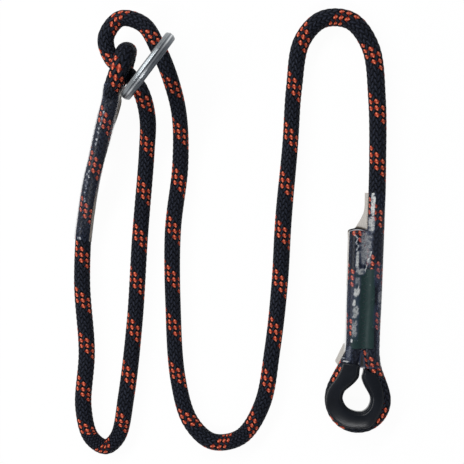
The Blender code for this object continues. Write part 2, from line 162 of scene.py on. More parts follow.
# Thimble, in its own plan: points on the hole's edge and the flange's edge, pair by pair round the groove
thimble_pairs = [
    ((-1.2, 25.4), (-15.1, 25.4)), ((-1.4, 22), (-15.4, 22.5)), ((-1.4, 17.2), (-17, 17.5)),
    ((-3.9, 12.7), (-19.4, 12.2)), ((-7.4, 8.6), (-22.4, 7.2)), ((-10.5, 5.2), (-23.8, 2.6)),
    ((-11.5, 0), (-24.1, -2.4)), ((-9.6, -4), (-22.6, -8.4)), ((-6.4, -7.3), (-16.6, -16.4)),
    ((-2.2, -8.9), (-7, -21.4)), ((2.2, -9.2), (3.9, -21.6)), ((5.9, -8.2), (12.4, -18.6)),
    ((8.7, -5.2), (17.2, -10.4)), ((9.9, -1), (19.6, -2.4)), ((9.5, 2.8), (19.3, 4.4)),
    ((7.5, 6.2), (17.2, 11.2)), ((4.9, 9.6), (15, 15.4)), ((2.7, 13), (12.6, 18.4)),
    ((1.2, 16.8), (9.8, 20.6)), ((1.7, 20.4), (6.6, 21.7)), ((1.7, 22.6), (4.4, 23)),
]
thimble_steps = 7
thimble_wall = 1.6
groove_radius = 6.3
flange_rim = 6.9
flange_underside = 6.2
wall_middle = 6.2
most_wall_share = 0.45
least_groove = 0.4
flange_crest = 0.34
crest_margin = 0.02
crest_power = 3.2
crest_steps = 8
groove_steps = 6
rim_top_inset = 0.15
rim_bulge = 0.1
rim_under_inset = 0.2

# Rounded ends of the thimble's channel: share of the section, and reach
thimble_end_rings = ((0.97, 0.5), (0.9, 0.9))

# Ring
ring_centre = np.array([-62.6, 124.1, 30.073])
ring_axis = np.array([0.796955, -0.597718, -0.087156])
ring_outer_radius = 30.0
ring_inner_radius = 23.5
ring_steps = 144

# Half of the ring's section, outward side: distance along the axis, and height above the section's middle
ring_half_section = [
    (0, 3.25), (0.7, 3.245), (1.25, 3.23), (1.45, 3.19), (1.65, 3.1), (2.2, 2.81), (2.8, 2.49),
    (3.35, 2.2), (3.7, 1.95), (4, 1.5), (4.18, 0.9), (4.25, 0.3),
]

# Film over the joint above the thimble: distance along the joint, then its two edges' distance sideways
first_film = [
    (-1.6, -17.3, 15.3), (1, -19.2, 14.8), (2.6, -20.2, 14.3), (6.5, -18.7, 13.5),
    (10.7, -16.9, 13), (15.3, -14.9, 12.9), (18, -14.4, 12.9), (26, -13.9, 12.9),
    (49, -13.8, 13.2), (76, -14, 13.3), (95, -14.2, 13.2), (102, -14.2, 13.1),
    (103.2, -12, 13.1), (104.2, -9.1, 13.1), (107.1, -7.3, 13.1), (111.7, -4.8, 13),
    (116.4, -3, 13), (121.7, -2.5, 12.9), (131, -2.7, 12.8),
]

# Film over the joint below the ring: its left and right edges, pair by pair from the ring down
second_film = [
    ((-96, 111.4), (-81.2, 111.4)), ((-96.9, 105.6), (-83.2, 103.4)),
    ((-97.8, 100.3), (-83.1, 98.6)), ((-99.6, 93), (-84.8, 91.4)), ((-102, 86), (-87, 84.6)),
    ((-104.3, 77.9), (-89.9, 76.7)), ((-105.6, 70), (-92, 69)), ((-107.3, 60.4), (-94.9, 60)),
    ((-109.1, 52.2), (-96.9, 53)), ((-110.6, 47), (-96.7, 48.2)), ((-112.6, 39), (-99, 39.4)),
    ((-114.2, 30), (-100.9, 30.4)), ((-116.1, 19.2), (-102.9, 19)),
    ((-117.6, 10.8), (-104.3, 10.6)), ((-118.7, 3.8), (-105.3, 2.6)),
    ((-119.9, -5.1), (-106.5, -7.4)),
]

# Films: samples from pair to pair, gap to the strands, half thickness at a free edge, sag between two
# strands, least height
first_film_steps = 16
second_film_steps = 14
film_gap = 0.75
film_edge = 0.3
film_dip = 1.6
film_floor = 0.15
film_columns = 52
film_marks = ("haze_and_glare", "web", "fold_and_shade")
least_bridge = 6.0
strand_margin = 4.0

# Random waves: strength, size and seed
film_wave = (0.18, 3.1, 11)
label_wave = (0.14, 4, 5)
glare_and_haze_waves = ((0.9, 2.4, 3), (0.5, 0.9, 8))
faint_wave = (0.3, 1.5, 7)
glint_wave = (0.9, 0.9, 2)

# Marks in the first film, partly painted glare from the lamps and partly milky haze: middle sideways and
# along the joint, half width, half length, strength
first_glare_and_haze = [
    (3.5, 122.6, 1.7, 9.5, 0.95), (3.1, 107.1, 2.6, 6.6, 0.75), (-0.8, 89, 5, 13.5, 0.58),
    (-6.7, 78.4, 1.5, 7.5, 0.8), (-4.3, 71.4, 3.5, 2.6, 0.75), (-5.7, 63.5, 2.3, 4.2, 0.55),
    (-6.4, 55.2, 2.2, 3.6, 0.95), (-8, 47, 1.3, 3, 0.95), (-6.7, 40, 2.6, 5, 0.7),
    (-7.1, 28.2, 2, 8, 0.65), (-8.9, 18.7, 0.8, 1.6, 0.9), (-11.4, 46, 1.9, 26, 0.16),
    (-6.8, 44, 3.2, 26, 0.28), (9, 69.5, 3, 9, 0.3), (9, 37, 2.6, 9, 0.25),
    (11.2, 51.8, 1.5, 8, 0.55), (11.4, 40, 1.4, 36, 0.34), (12.9, 116, 0.5, 14, 0.6),
    (-10.5, 9, 2, 6, 0.4), (-12.3, 3, 2.8, 0.7, 0.9), (-14.4, 5.3, 1.7, 0.5, 0.6),
]
glare_and_haze_reach = 1.35
glare_and_haze_softness = 0.8

# Painted highlights along creases in the first film, each a line of points in the joint's plan
first_crease_highlights = [
    [(-9.2, 98.7), (-7, 96.1), (-8.4, 92.7), (-6, 90.5), (-7.8, 87.8), (-5.8, 85.6)],
    [(3.8, 86.4), (2.6, 82.8), (1.2, 79.4), (0.6, 75.6), (-0.7, 71)],
    [(-5.6, 60.4), (-4, 57.2), (-5, 53)],
    [(-8, 49.4), (-7, 45.4), (-4.6, 42.6)],
]
crease_highlight_half_width = 0.4
crease_highlight_strength = 1.1

# Loose web in the first film: past the tail's cut end, and outside the left strand along two stretches
web_tail = 103.5
web_tail_right = 0.2
web_left = -13.4
web_foot = 9.5
web_foot_spread = 0.45
web_stretches = ((-10, 16), (60, 103))

# Dark marks in the first film: a fold over the tail's cut end, dark partly as painted shadow of the rope's
# end, painted shade in a wedge between the thimble's legs, and a dark line
bow_middle = -7.0
bow_top = 103.9
bow_drop = 2.0
bow_half_length = 7.2
bow_half_width = 1.0
bow_right = 1.0
wedge_half_width = 2.3
wedge_taper = 0.16
wedge_least = 0.6
wedge_middle = -0.1
wedge_lean = -0.05
wedge_along = 4.5
wedge_half_length = 6.5
line_along = -1.0
line_half_width = 0.5
line_strength = 0.8

# Small glints of the second film: x, y, and how strong
second_glints = [
    (-95.8, 89.7, 1), (-97.4, 85.2, 0.8), (-98.3, 81.5, 0.8), (-99.7, 77.9, 0.9),
    (-100.3, 74.5, 0.9), (-101.2, 69.5, 1), (-101.9, 66.1, 0.9), (-107, 45.7, 0.8),
    (-108.5, 43.6, 0.8), (-107, 41.6, 0.9), (-109.4, 39.3, 0.7), (-108.5, 37.2, 0.8),
    (-109.6, 35.5, 0.6), (-109.4, 33.2, 0.7), (-110.6, 29.4, 0.7), (-110.9, 24.9, 0.8),
    (-110.6, 23.4, 0.7), (-114.8, 2.5, 0.6), (-114.6, -4.7, 1), (-116, -4.3, 0.8),
]
glint_radius = 0.95
glint_stretch = 1.4
glint_share = 0.75

# Loose flap down the second film's right edge: where it is, as shares of the film's width across and as
# middle and half length of two stretches along, the pale line in it, and the pale fold by the ring
flap_start = 0.85
flap_softness = 0.06
flap_stretches = ((96, 13), (8, 28))
flap_shade = 0.75
flap_line = 0.93
flap_line_half = 0.025
flap_line_haze = 0.4
fold_place = 96.6
fold_lean = 0.15
fold_half_width = 0.45
fold_haze = 0.35

# Label's corners in the joint's plan, from the top left round
label_corners = ((-7.4, 72.4), (7, 73.6), (8.4, 13.2), (-9.6, 12.4))
label_rows = 61
label_columns = 25
label_margin = 6.0
label_drop = 0.3
label_thickness = 0.2

# Colours, as they look
sheath_dark = (9, 11, 16)
# The next colour is a painted highlight, for the sheen on the floats' crests
sheath_highlight = (40, 44, 56)
tracer_orange = (198, 84, 56)
tracer_shade = (132, 40, 26)
# The next colour is a painted highlight on the tracer's floats
tracer_highlight = (246, 146, 114)
# The next colour is painted shade, for the gaps between the floats
gap_shade = (7, 7, 10)
thimble_black = (17, 19, 23)
thimble_worn = (25, 28, 34)
steel_light = (167, 173, 175)
steel_dark = (88, 92, 98)
# The next two are painted reflection colours: a highlight band and the dark rope and room mirrored in the
# steel
steel_painted_highlight = (236, 239, 242)
steel_dark_reflection = (36, 46, 62)
film_grey = (68, 80, 108)
film_beige = (158, 148, 134)
# The next colour darkens the films' folds and paints shade
film_fold_and_shade = (38, 35, 34)
# The next colour whitens the films' haze and painted glare
film_milk_and_glare = (190, 192, 190)
label_green = (17, 36, 34)
label_worn = (30, 54, 49)
label_scuffed = (86, 104, 98)
thread_dark = (24, 25, 28)
thread_grey = (48, 50, 54)

# Painted reflection bands turned round the ring, a bright highlight and the dark rope and room mirrored in
# the steel: place along its axis, half width, share and colour
painted_reflection_bands = [
    (-2.4, 0.35, 0.25, steel_dark_reflection),
    (-1, 0.4, 0.6, steel_dark_reflection),
    (0.35, 0.85, 0.6, steel_painted_highlight),
    (-0.2, 0.25, 0.5, steel_dark_reflection),
    (2.4, 1.2, 0.55, steel_dark_reflection),
    (3.9, 0.6, 0.85, steel_dark_reflection),
]

# Stretches of the rope that a film covers, by distance along the rope
filmed_stretches = [(0, 101), (208, 339), (1734, 1843)]

# How much of the floor's colour is plain white to the camera; the rest is lit and keeps the shadow
floor_glow = 0.96
floor_half_side = 3000.0
floor_tone = (0.9, 0.9, 0.9, 1.0)
plain_white = (1.0, 1.0, 1.0, 1.0)

# Studio round the object: its tones at the horizon and overhead, and how high the first one fades
horizon_tone = (0.42, 0.42, 0.43, 1.0)
overhead_tone = (0.07, 0.08, 0.1, 1.0)
horizon_fade = 0.75

# Lamps: turn and lean from overhead in degrees, width and height, and power in watts
lamps = {
    "key": (143, 46, 3400, 400, 42),
    "near": (-90, 36, 700, 160, 9),
    "side": (-37, 56, 3000, 550, 4),
}
lamp_distance = 1700.0

# Camera: straight above, as far away and as long as gives the photograph's scale
photo_pixels = 464
pixel_size = 0.76
camera_height = 1500.0
scale_height = 6.0
camera_place = (0.35, 0.1)
sensor_width = 36.0


# Small helpers

def linear(colour):
    """A displayed colour, 0 to 255, as Blender's linear RGBA."""
    parts = [c / 255 for c in colour]
    parts = [c / 12.92 if c <= 0.04045 else ((c + 0.055) / 1.055) ** 2.4 for c in parts]
    return (*parts, 1.0)


def new_object(name, data):
    obj = bpy.data.objects.new(name, data)
    bpy.context.scene.collection.objects.link(obj)
    return obj


def mesh_object(name, points, faces, material):
    """A smooth mesh. Its points are in millimetres."""
    mesh = bpy.data.meshes.new(name)
    mesh.from_pydata([tuple(p) for p in np.asarray(points) * mm], [], faces)
    mesh.validate()
    mesh.polygons.foreach_set("use_smooth", [True] * len(mesh.polygons))
    mesh.update()
    mesh.materials.append(material)
    return new_object(name, mesh)


def grid_faces(rows, columns, closed=True, first=0):
    """Quads of a grid of rows and columns, whose columns may close into a ring."""
    faces = []
    for row in range(rows - 1):
        for column in range(columns if closed else columns - 1):
            after = (column + 1) % columns
            a = first + row * columns
            faces.append((a + column, a + after, a + columns + after, a + columns + column))
    return faces


def spline(points, per_span):
    """The centripetal Catmull-Rom curve through the points, with per_span samples to each span."""
    points = np.asarray(points, float)
    ends = [2 * points[0] - points[1]], [2 * points[-1] - points[-2]]
    padded = np.concatenate([ends[0], points, ends[1]])
    result = []
    for a, b, c, d in zip(padded, padded[1:], padded[2:], padded[3:]):
        tb = math.sqrt(np.linalg.norm((b - a)[:3]))
        tc = tb + math.sqrt(np.linalg.norm((c - b)[:3]))
        td = tc + math.sqrt(np.linalg.norm((d - c)[:3]))
        t = (tb + (tc - tb) * np.arange(per_span) / per_span)[:, None]
        ab = a + (b - a) * t / tb
        bc = b + (c - b) * (t - tb) / (tc - tb)
        cd = c + (d - c) * (t - tc) / (td - tc)
        abc = ab + (bc - ab) * t / tc
        bcd = bc + (cd - bc) * (t - tb) / (td - tb)
        result.append(abc + (bcd - abc) * (t - tb) / (tc - tb))
    return np.concatenate([*result, points[-1:]])


def pairs_along(pairs, per_span):
    """The spline through pairs of plan points, as pairs again."""
    return spline(np.reshape(pairs, (-1, 4)), per_span).reshape(-1, 2, 2)


def span(start, end):
    """Distance from start to end, and the direction."""
    width = np.linalg.norm(end - start)
    return width, (end - start) / width


def lengths_along(line):
    return np.concatenate([[0.0], np.cumsum(np.linalg.norm(np.diff(line, axis=0), axis=1))])


def at_lengths(line, along, places):
    return np.stack([np.interp(places, along, column) for column in line.T], axis=1)


def unit(vectors):
    return vectors / np.linalg.norm(vectors, axis=-1, keepdims=True)


# Sewn joint above the thimble

def turned(angle, vector):
    c, s = math.cos(angle), math.sin(angle)
    return np.array([c * vector[0] - s * vector[1], s * vector[0] + c * vector[1]])


def thimble_point(x, y, z=0.0):
    return np.array([*(thimble_centre + turned(thimble_turn, (x, y))), thimble_half_height + z])


def joint_point(distance, sideways, height=0.0):
    foot = thimble_point(0.0, foot_reach)
    rise = joint_rise * min(distance / tail_end, 1.0)
    along = turned(joint_turn, (sideways, distance))
    return foot + np.array([*along, rise + height])


def strand_point(distance, side):
    """side is 1 on the main strand and -1 on the tail."""
    spread = max(0.0, 1.0 - distance / flare_length)
    half_spacing = (strand_spacing + (foot_spacing - strand_spacing) * spread) / 2
    return joint_point(distance, side * half_spacing - foot_shift * spread)


def thimble_eye_points():
    flare = [0.0, flare_length / 2, flare_length]
    tail = [strand_point(s, -1) for s in (tail_end, tail_end / 2, *reversed(flare))]
    main = [strand_point(s, 1) for s in (*flare, main_strand_end / 2)]
    loop = []
    for step in range(loop_steps + 1):
        angle = loop_half_wrap * (2 * step / loop_steps - 1) - math.pi / 2
        x, y = loop_shift + loop_radius * np.array([math.cos(angle), math.sin(angle)])
        loop.append(thimble_point(x, y))
    return tail + loop + main


# Rope

def second_strand(upper):
    places = []
    for station, (x, y, share) in enumerate(second_joint):
        climbed = share if upper or station < second_tail_station else 0.0
        places.append(np.array([x, y, bed_height + climbed * stack_step]))
    return places


def rope_points():
    """Every point of the whole rope's route, from the tail at the thimble to the tail in the second joint."""
    tail = [strand_point(s, -1) for s in (tail_end + tail_extra, tail_end / 2)]
    points = [(*p, filmed_girth) for p in tail]
    points += [(*p, girth) for p, girth in zip(thimble_eye_points()[2:-1], thimble_eye_girths)]
    main = [strand_point(s, 1) for s in (main_strand_end / 2, main_strand_end, sleeve_length)]
    points += [(*p, filmed_girth) for p in main]
    points += [(x, y, lying_height + lift, girth) for x, y, lift, girth in free_run]
    points += [(*p, 1.0) for p in second_strand(upper=True)]
    points += [(x, y, bed_height + lift, girth) for x, y, lift, girth in second_eye]
    tail = second_strand(upper=False)[second_tail_station + 1 :]
    points += [(*p, 1.0) for p in reversed(tail)]
    points.append((*second_strand(upper=False)[second_tail_station], second_tail_girth))
    return points


def rope_line():
    """The rope's centreline with its girth, and how far along the rope each of its points is."""
    line = spline(rope_points(), samples_per_span)
    line[:, 2] = np.maximum(line[:, 2], rope_radius * line[:, 3] + floor_clearance)
    return line, lengths_along(line[:, :3])


def carried_frames(line):
    """Tangent, up and left at each point, with up carried along the rope without twist."""
    tangents = unit(np.gradient(line, axis=0))
    ups = [np.array([0.0, 0.0, 1.0])]
    for before, after, t0, t1 in zip(line, line[1:], tangents, tangents[1:]):
        step = after - before
        across = step @ step
        up = ups[-1] - 2 / across * (step @ ups[-1]) * step
        t = t0 - 2 / across * (step @ t0) * step
        bend = t1 - t
        turn = bend @ bend
        ups.append(up - 2 / turn * (bend @ up) * bend if turn > 1e-18 else up)
    ups = np.array(ups)
    ups = unit(ups - (ups * tangents).sum(1, keepdims=True) * tangents)
    return tangents, ups, np.cross(ups, tangents)


def dome(across, along, slant):
    """Height of a float above the gaps round it, from 0 to 1."""
    reach = ((across - slant * along) / float_width) ** 2 + (along / float_length) ** 2
    return np.sqrt(np.clip(1 - reach, 0, None))


def nearest(values):
    return values - np.round(values)


def weave_height(column, row):
    """Relief of the sheath: one family of floats at whole columns and rows, the other between them."""
    first = dome(nearest(column), nearest(row), float_slant)
    second = dome(nearest(column - 0.5), nearest(row - 0.5), -float_slant)
    return np.maximum(first, second) * float_rise


def weave_rows(total):
    """Rows of the weave from end to end, how far along the rope each is, and the twist there."""
    marks, turns = np.transpose(tracer_marks)
    twist_places, twists = np.transpose(twist_marks)
    marks, twist_places = marks + tail_extra, twist_places + tail_extra
    places = np.arange(weave_start, total - weave_stop, weave_search_step)
    twist = np.interp(places, twist_places, twists)
    rows = strands * np.interp(places, marks, turns) - twist
    first, last = math.ceil(rows[0] * samples_per_float), math.floor(rows[-1] * samples_per_float)
    wanted = np.arange(first, last + 1) / samples_per_float
    places = np.interp(wanted, rows, places)
    return wanted, places, np.interp(places, twist_places, twists)


def close_end(points, faces, ring, tangent, sign):
    """A rounded cut end on the ring of points that starts at the number ring."""
    rim = points[ring : ring + samples_round]
    middle = rim.mean(0)
    base = len(points)
    added = [middle + (rim - middle) * share + tangent * sign * reach for share, reach in end_rings]
    rings = [ring] + [base + samples_round * k for k in range(len(end_rings))]
    tip = base + samples_round * len(end_rings)
    for k in range(samples_round):
        after = (k + 1) % samples_round
        corners = [(a + k, a + after, b + after, b + k) for a, b in zip(rings, rings[1:])]
        corners.append((rings[-1] + k, rings[-1] + after, tip))
        faces += [c[::-1] if sign > 0 else c for c in corners]
    return np.concatenate([points, *added, [middle + tangent * sign * end_tip]])


def make_rope(material):
    line, along = rope_line()
    tangents, ups, lefts = carried_frames(line[:, :3])
    rows, places, twist = weave_rows(along[-1])
    centre = at_lengths(line, along, places)
    up = unit(at_lengths(ups, along, places))[:, None, :]
    left = unit(at_lengths(lefts, along, places))[:, None, :]
    columns = strands * np.arange(samples_round) / samples_round
    angle = 2 * math.pi * (columns[None, :] + twist[:, None]) / strands
    relief = weave_height(columns[None, :], rows[:, None])
    radius = rope_radius * centre[:, 3:4] - float_rise * relief_inside + relief
    outward = np.cos(angle)[:, :, None] * up + np.sin(angle)[:, :, None] * left
    points = (centre[:, None, :3] + radius[:, :, None] * outward).reshape(-1, 3)
    faces = [f[::-1] for f in grid_faces(len(rows), samples_round)]
    end_tangents = at_lengths(tangents, along, places[[0, -1]])
    points = close_end(points, faces, 0, end_tangents[0], -1)
    points = close_end(points, faces, (len(rows) - 1) * samples_round, end_tangents[1], 1)
    rope = mesh_object("braided_rope", points, faces, material)
    add_sheath_maps(rope.data, rows, places)
    return rope


def corner_places(mesh, row_count):
    """Row and column of the sheath's grid at each face corner, kept whole at the seam, and its face."""
    corners = np.empty(len(mesh.loops), int)
    mesh.loops.foreach_get("vertex_index", corners)
    sizes = np.empty(len(mesh.polygons), int)
    mesh.polygons.foreach_get("loop_total", sizes)
    owner = np.repeat(np.arange(len(sizes)), sizes)
    beyond = corners - row_count * samples_round
    end_size = len(end_rings) * samples_round + 1
    last_end = beyond >= end_size
    row = np.where(beyond < 0, corners // samples_round, np.where(last_end, row_count - 1, 0))
    column = np.where(last_end, beyond - end_size, corners) % samples_round
    lowest = np.full(len(sizes), samples_round)
    highest = np.zeros(len(sizes), int)
    np.minimum.at(lowest, owner, column)
    np.maximum.at(highest, owner, column)
    over_seam = (lowest == 0) & (highest == samples_round - 1)
    column = np.where(over_seam[owner] & (column == 0), samples_round, column)
    return row, column, owner


def add_map(mesh, name, u, v):
    layer = mesh.uv_layers.new(name=name)
    layer.uv.foreach_set("vector", np.stack([u, v], axis=1).astype(np.float32).ravel())


def add_sheath_maps(mesh, rows, places):
    """One map of the weave's columns and rows, and one of plain strips that cover a square once."""
    row, column, owner = corner_places(mesh, len(rows))
    add_map(mesh, "sheath", column * strands / samples_round, rows[row])
    place = places[row]
    first = np.full(len(mesh.polygons), np.inf)
    np.minimum.at(first, owner, place)
    strip_length = places[-1] / bake_strips
    strip = np.clip(first // strip_length, 0, bake_strips - 1)[owner]
    along = (place - strip * strip_length) / strip_length
    across = (strip + strip_edge + strip_width * column / samples_round) / bake_strips
    add_map(mesh, "OFBake", strip_start + strip_reach * along, across)


def row_at(place, total):
    """The weave's row at a distance along the rope."""
    rows, places, _ = weave_rows(total)
    return float(np.interp(place, places, rows))


# Thimble

def thimble_section(width):
    """Outline of the channel's section: distance from the hole's edge, and height. It goes once round."""
    wall = min(thimble_wall, width * most_wall_share)
    groove = max(min(groove_radius, width - wall - least_groove), least_groove)
    middle = wall + groove
    half = []
    for step in range(crest_steps + 1):
        share = flange_crest * (1 - math.cos(math.pi / 2 * step / crest_steps))
        away = (flange_crest - share) / (flange_crest + crest_margin)
        height = thimble_half_height * max(1 - away ** crest_power, 0.0) ** 0.5
        half.append((share * width, max(height, wall_middle)))
    for step in range(1, crest_steps + 1):
        share = flange_crest + (1 - flange_crest) * step / crest_steps
        drop = (thimble_half_height - flange_rim) * ((share - flange_crest) / (1 - flange_crest)) ** 2
        inset = rim_top_inset if step == crest_steps else 0.0
        half.append((share * width - inset, thimble_half_height - drop))
    half.append((width + rim_bulge, (flange_rim + flange_underside) / 2))
    top = min(flange_underside, groove)
    half.append((width - rim_under_inset, flange_underside))
    half.append((max(middle, wall), flange_underside))
    for step in range(groove_steps + 1):
        turn = math.pi / 2 * (1 + step / groove_steps)
        height = top * math.sin(turn) if step < groove_steps else 0.0
        half.append((middle + groove * math.cos(turn), height))
    mirrored = [(x, -z) for x, z in half[-2::-1]]
    return half + mirrored


def make_thimble(material):
    """The moulded channel, one section after another along the groove, with rounded ends."""
    rows = []
    for inner, outer in pairs_along(thimble_pairs, thimble_steps):
        width, across = span(inner, outer)
        rows.append([(*(inner + across * s), z) for s, z in thimble_section(width)])
    rows = np.array(rows)
    for side, inside in ((0, 1), (-1, -2)):
        ahead = unit((rows[side] - rows[inside]).mean(0))
        middle = rows[side].mean(0)
        spread = rows[side] - middle
        caps = [middle + spread * share + ahead * reach for share, reach in thimble_end_rings]
        rows = np.concatenate([caps[::-1], rows]) if side == 0 else np.concatenate([rows, caps])
    count, size = rows.shape[:2]
    points = [thimble_point(*p) for p in rows.reshape(-1, 3)]
    faces = grid_faces(count, size)
    faces.append(tuple(range(size))[::-1])
    faces.append(tuple(range((count - 1) * size, count * size)))
    return mesh_object("moulded_thimble", points, faces, material)


# Ring

def ring_profile():
    """Distance along the axis and radius, once round the section: a flat band with chamfered corners."""
    middle = (ring_outer_radius + ring_inner_radius) / 2
    quarter = [(a, middle + rise) for a, rise in ring_half_section]
    upper = quarter + [(a, 2 * middle - r) for a, r in reversed(quarter)]
    return upper + [(-a, r) for a, r in upper[-2:0:-1]]


def make_ring(material):
    profile = ring_profile()
    side = unit(np.cross(ring_axis, (0.0, 0.0, 1.0)))
    up = np.cross(side, ring_axis)
    points = []
    for step in range(ring_steps):
        turn = 2 * math.pi * step / ring_steps
        outward = math.cos(turn) * up + math.sin(turn) * side
        points += [ring_centre + a * ring_axis + r * outward for a, r in profile]
    open_faces = grid_faces(ring_steps + 1, len(profile))
    faces = [tuple(corner % len(points) for corner in face) for face in open_faces]
    return mesh_object("steel_ring", points, faces, material)


# Films and label

def strands_across(line, left, right):
    """Where the rope passes through the upright plane from left to right: distance across, height, radius."""
    width, across = span(left, right)
    ahead = np.array([-across[1], across[0]])
    plan = line[:, :2] - (left + right) / 2
    distance = plan @ ahead
    place = plan @ across + width / 2
    found = []
    for k in np.nonzero(distance[:-1] * distance[1:] <= 0)[0]:
        if -strand_margin < place[k] < width + strand_margin:
            found.append((place[k], line[k, 2], rope_radius * line[k, 3]))
    return found


def draped(place, found, gap, dip, side):
    """Height of a film at a distance across: over the strands for side 1, and under them for side -1."""
    heights = []
    for x, z, radius in found:
        reach = radius + gap
        inside = reach ** 2 - (place - x) ** 2
        if inside > 0:
            heights.append(side * z + math.sqrt(inside))
    for first, second in zip(found, found[1:]):
        (xa, za, ra), (xb, zb, rb) = sorted((first, second))
        if xb - xa > least_bridge and xa < place < xb:
            share = (place - xa) / (xb - xa)
            bridge = side * (za + (zb - za) * share) + ra + gap - dip * math.sin(math.pi * share) ** 2
            heights.append(bridge)
    return side * max(heights) if heights else None


def wave(x, y, z, strength, size, seed):
    return strength * noise.noise(Vector((x / size + seed, y / size, z / size)))


def film_mesh(name, outline, line, plan_marks, dip, steps, material):
    """A film round the strands between its left and right edges, with its shares of haze and painted glare,
    of loose web, and of dark folds and painted shade.
    """
    rows = []
    for left, right in pairs_along(outline, steps):
        width, across = span(left, right)
        found = strands_across(line, left, right)
        middle_z = float(np.mean([z for x, z, r in found])) if found else bed_height
        half = width / 2
        top, under = [], []
        for k in range(film_columns + 1):
            place = half * (1 - math.cos(math.pi * k / film_columns))
            spot = left + across * place
            for side, edge in ((1, top), (-1, under)):
                z = draped(place, found, film_gap, dip, side)
                if z is None:
                    z = middle_z + side * film_edge
                if 0 < k < film_columns:
                    z += side * wave(*spot, z, *film_wave)
                edge.append((*spot, z))
        rows.append(top + under[-2:0:-1])
    rows = np.array(rows)
    rows[:, :, 2] = np.maximum(rows[:, :, 2], film_floor)
    count, size = rows.shape[:2]
    film = mesh_object(name, rows.reshape(-1, 3), grid_faces(count, size), material)
    shares = np.array([plan_marks(*spot) for spot in rows.reshape(-1, 3)])
    for label, values in zip(film_marks, shares.T):
        layer = film.data.attributes.new(label, "FLOAT", "POINT")
        layer.data.foreach_set("value", np.clip(values, 0, 1).astype(np.float32))
    return film


def joint_plan(x, y):
    """Distance sideways and along the first joint of a point in the world's plan."""
    foot = thimble_point(0.0, foot_reach)[:2]
    return turned(-joint_turn, np.array([x, y]) - foot)


def distance_to_line(spot, points):
    best = math.inf
    for a, b in zip(points, points[1:]):
        a, b = np.array(a), np.array(b)
        share = np.clip((spot - a) @ (b - a) / ((b - a) @ (b - a)), 0, 1)
        best = min(best, float(np.linalg.norm(spot - a - share * (b - a))))
    return best


def first_marks(x, y, z):
    """Haze with painted glare, loose web, and dark folds with painted shade of the first film at a point.
    Only its upper side has the haze and glare.
    """
    spot = joint_plan(x, y)
    sideways, along = spot
    haze_and_glare = 0.0
    if z > bed_height - 1:
        ragged = sum(wave(x, y, 0.0, *values) for values in glare_and_haze_waves)
        # Patches of painted glare and milky haze
        for off, place, half_width, half_length, strength in first_glare_and_haze:
            reach = abs((sideways - off) / half_width) ** 4 + abs((along - place) / half_length) ** 4
            inside = (glare_and_haze_reach - reach + ragged) * glare_and_haze_softness
            haze_and_glare = max(haze_and_glare, strength * min(max(inside, 0.0), 1.0))
        # Painted highlights along the creases
        for points in first_crease_highlights:
            off_line = distance_to_line(spot, points) / crease_highlight_half_width
            haze_and_glare = max(haze_and_glare, crease_highlight_strength * math.exp(-off_line ** 2))

    past_tail = along > web_tail and sideways < web_tail_right
    loose_edge = web_left - max(web_foot - along, 0.0) * web_foot_spread
    outside = sideways < loose_edge and any(start < along < end for start, end in web_stretches)
    web = 1.0 if past_tail or outside else 0.0

    # Fold over the tail's cut end, darkened partly as painted shadow of the rope's end
    bow = bow_top - bow_drop * ((sideways - bow_middle) / bow_half_length) ** 2
    fold_and_shade = math.exp(-((along - bow) / bow_half_width) ** 2) if sideways < bow_right else 0.0
    # Painted shade in a wedge between the thimble's legs
    wedge = max(wedge_half_width - wedge_taper * along, wedge_least)
    off_wedge = abs(sideways - wedge_middle - wedge_lean * along) / wedge
    off_length = abs((along - wedge_along) / wedge_half_length)
    fold_and_shade = max(fold_and_shade, math.exp(-off_wedge ** 6 - off_length ** 6))
    off_line = (along - line_along) / line_half_width
    fold_and_shade = max(fold_and_shade, line_strength * math.exp(-off_line ** 2))
    return haze_and_glare, web, fold_and_shade


def second_marks(x, y, z):
    """Haze with painted glints, loose web, and the flap's shade of the second film at a point, in the same
    way.
    """
    lefts, rights = np.array(second_film).transpose(1, 0, 2)
    right = np.interp(y, rights[::-1, 1], rights[::-1, 0])
    left = np.interp(y, lefts[::-1, 1], lefts[::-1, 0])
    share = (x - left) / (right - left)
    haze_and_glare = 0.0
    if z > bed_height:
        haze_and_glare = max(wave(x, y, 0.0, *faint_wave), 0.0)
        broken = glint_share + wave(x, y, 0.0, *glint_wave)
        for gx, gy, strength in second_glints:
            off = ((x - gx) ** 2 + ((y - gy) / glint_stretch) ** 2) / glint_radius ** 2
            haze_and_glare = max(haze_and_glare, strength * broken * math.exp(-off ** 2))

    flap = min(max((share - flap_start) / flap_softness, 0.0), 1.0)
    loose = min(sum(math.exp(-((y - middle) / half) ** 4) for middle, half in flap_stretches), 1.0)
    pale = math.exp(-(((share - flap_line) / flap_line_half) ** 2))
    web = flap * loose
    fold = math.exp(-((y + fold_lean * x - fold_place) / fold_half_width) ** 2)
    haze_and_glare = max(haze_and_glare, flap_line_haze * pale * loose, fold_haze * fold)
    fold_and_shade = flap_shade * flap * loose * (1 - pale)
    return haze_and_glare, web, fold_and_shade


def make_first_film(line, material):
    outline = []
    for distance, left, right in first_film:
        outline.append((joint_point(distance, left)[:2], joint_point(distance, right)[:2]))
    return film_mesh("joint_film", outline, line, first_marks, film_dip, first_film_steps, material)


def make_second_film(line, material):
    return film_mesh("ring_eye_film", second_film, line, second_marks, 0.0, second_film_steps, material)


